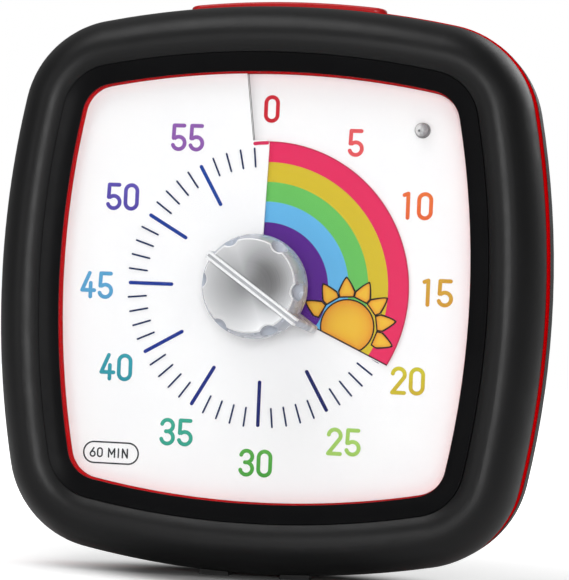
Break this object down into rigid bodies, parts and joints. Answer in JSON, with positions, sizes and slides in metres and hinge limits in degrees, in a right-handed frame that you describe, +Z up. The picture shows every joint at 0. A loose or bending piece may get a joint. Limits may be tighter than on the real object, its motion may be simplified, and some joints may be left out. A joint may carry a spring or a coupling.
{
  "type": "visual countdown timer",
  "caption": "Square-cased visual countdown timer with a helical dial, a coloured time disc, a clear turning knob, a top bar button and a battery bay behind.",
  "frame": {"origin": "on the table, under the middle of the timer's bounding box", "axes": "+X to the viewer's right, +Y to the back of the case, +Z up; the dial faces -Y"},
  "size_m": [0.1906, 0.0598, 0.198],
  "materials": {
    "bezel_black": "satin",
    "ring_black": "gloss",
    "lens_clear": "clear, polished",
    "case_red": "gloss",
    "dial_white": "matt",
    "disc_film": "printed film",
    "natural_plastic": "matt",
    "knob_clear": "clear, polished",
    "cap_silver": "bright",
    "steel": "plain",
    "brass": "plain",
    "lamp_clear": "clear",
    "board_green": "solder mask",
    "cell_wrap": "printed sleeve",
    "contact_steel": "plated",
    "inner_black": "matt",
    "foot_rubber": "matt"
  },
  "bodies": {
    "case": {"front_bezel": "bezel_black", "window_ring": "ring_black", "lens": "lens_clear", "mid_frame": "case_red", "dial_plate": "dial_white", "movement_base": "natural_plastic", "movement_cover": "natural_plastic", "shaft_bushing": "brass", "stator": "steel", "coil": "brass", "movement_screws": "steel", "rear_cover": "bezel_black", "aa_cells": "cell_wrap", "contact_plates": "contact_steel", "contact_springs": "contact_steel", "button_springs": "steel", "button_board": "board_green", "button_switch": "inner_black", "led": "lamp_clear", "led_holder": "inner_black", "circuit_board": "board_green", "slide_switches": "steel", "sounder": "inner_black", "case_screws": "steel", "board_screws": "steel", "rubber_feet": "foot_rubber"},
    "knob": {"knob_body": "knob_clear", "knob_cap": "cap_silver", "knob_shaft": "steel", "clutch_spring": "steel", "retaining_clip": "steel"},
    "disc": {"time_disc": "disc_film", "disc_hub": "natural_plastic"},
    "button": {"top_button": "case_red", "switch_plunger": "inner_black"},
    "door": {"battery_door": "bezel_black"},
    "volume": {"volume_slider": "inner_black"},
    "duration": {"duration_slider": "inner_black"},
    "centre": {"centre_wheel": "natural_plastic"},
    "third": {"third_wheel": "natural_plastic"},
    "fourth": {"fourth_wheel": "natural_plastic"},
    "rotor": {"rotor": "steel"}
  },
  "joints": [
    {"name": "knob_turn", "type": "hinge", "parent": "case", "child": "knob", "pos_m": [0, -0.0036, 0.09825], "axis": [0, 1, 0], "range_deg": [-120, 240]},
    {"name": "disc_lift", "type": "slide", "parent": "knob", "child": "disc", "axis": [0, -1, 0], "range_m": [-0.00067, 0.00134]},
    {"name": "button_press", "type": "slide", "parent": "case", "child": "button", "axis": [0, 0, -1], "range_m": [0, 0.0015], "stiffness_N_per_m": 500, "springref_m": -0.001, "deforming": ["button_springs"]},
    {"name": "door_swing", "type": "hinge", "parent": "case", "child": "door", "pos_m": [0, 0.0286, 0.0335], "axis": [-1, 0, 0], "range_deg": [0, 95]},
    {"name": "volume_slide", "type": "slide", "parent": "case", "child": "volume", "axis": [1, 0, 0], "range_m": [-0.002, 0.002]},
    {"name": "duration_slide", "type": "slide", "parent": "case", "child": "duration", "axis": [1, 0, 0], "range_m": [0, 0.004]},
    {"name": "rotor_spin", "type": "hinge", "parent": "case", "child": "rotor", "pos_m": [-0.00345, 0.0164, 0.11246], "axis": [0, 1, 0], "continuous": true},
    {"name": "fourth_spin", "type": "hinge", "parent": "case", "child": "fourth", "pos_m": [-0.0131, 0.0164, 0.10436], "axis": [0, 1, 0], "continuous": true},
    {"name": "third_spin", "type": "hinge", "parent": "case", "child": "third", "pos_m": [-0.01091, 0.0164, 0.09195], "axis": [0, 1, 0], "continuous": true},
    {"name": "centre_spin", "type": "hinge", "parent": "case", "child": "centre", "pos_m": [0, 0.0164, 0.09825], "axis": [0, 1, 0], "continuous": true}
  ],
  "couplings": [
    {"joint": "disc_lift", "follows": "knob_turn", "m_per_rad": 0.00031831},
    {"joint": "rotor_spin", "follows": "fourth_spin", "ratio": -5},
    {"joint": "third_spin", "follows": "fourth_spin", "ratio": -0.2},
    {"joint": "centre_spin", "follows": "fourth_spin", "ratio": 0.04}
  ]
}
